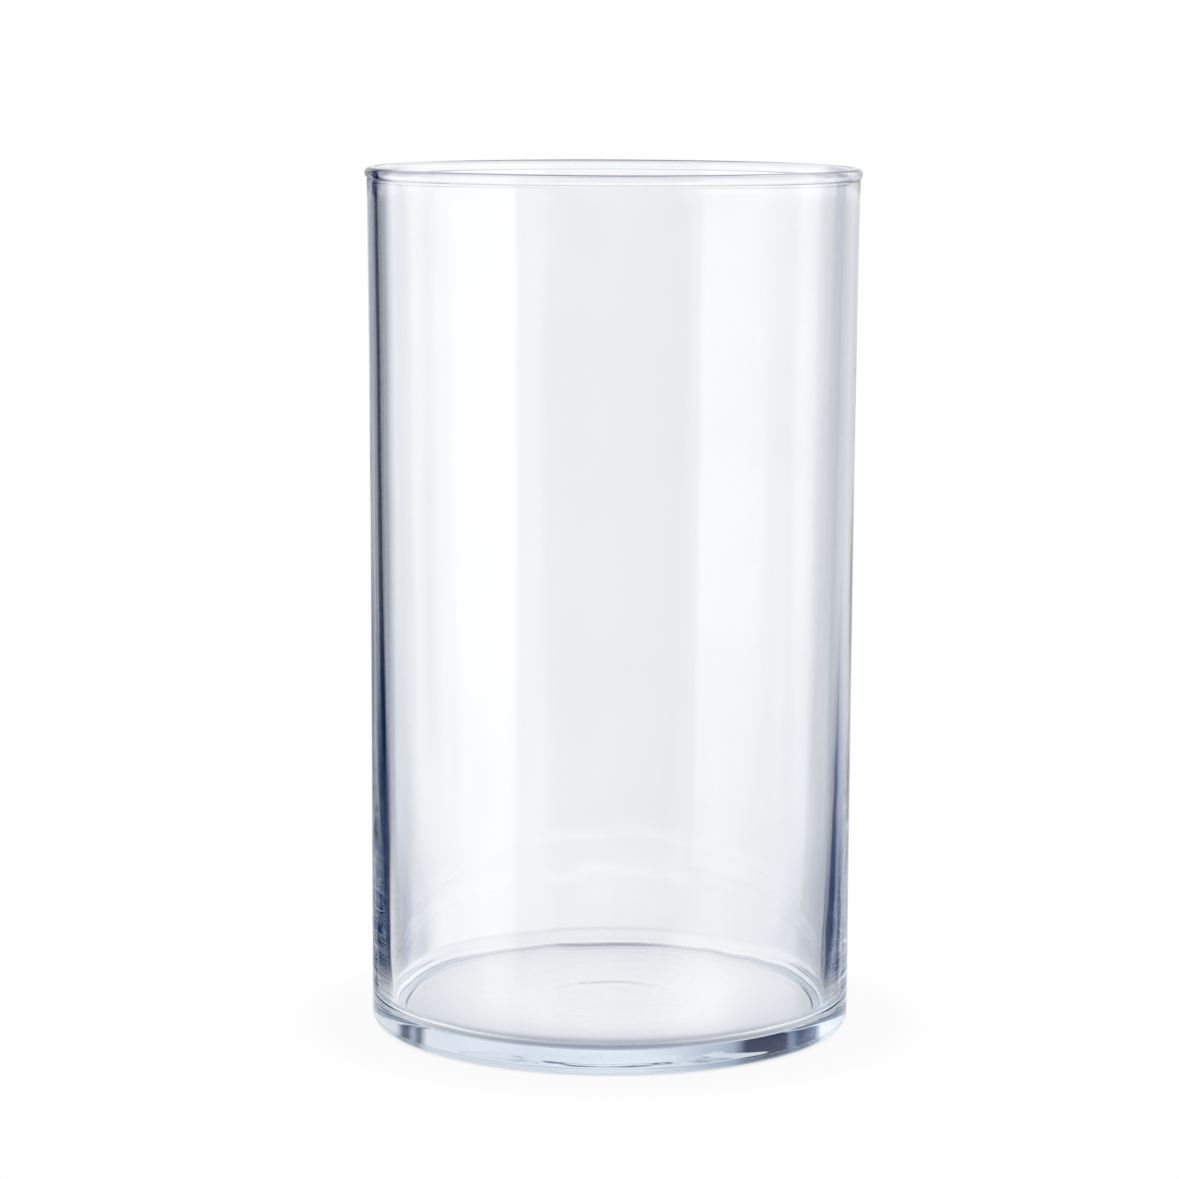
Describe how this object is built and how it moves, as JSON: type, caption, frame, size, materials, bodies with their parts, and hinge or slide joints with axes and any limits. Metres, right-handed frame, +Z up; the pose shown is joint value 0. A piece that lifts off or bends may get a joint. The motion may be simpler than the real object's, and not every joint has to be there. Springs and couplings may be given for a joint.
{
  "type": "cylinder vase",
  "caption": "Tall straight round vase of clear glass with a rounded rim bead, a heavier base and a flat foot ring, open at the top for cut stems.",
  "frame": {"origin": "centre of the foot ring, on the surface that the vase stands on", "axes": "+Z up along the vase's axis of revolution; the vase is round, so +X and +Y are any two square directions"},
  "size_m": [0.1144, 0.1144, 0.2],
  "materials": {
    "clear_glass": "clear soda-lime glass, fire-polished and glossy, faintly blue-grey where it is thick"
  },
  "bodies": {
    "root": {"glass_vase": "clear_glass"}
  },
  "joints": []
}
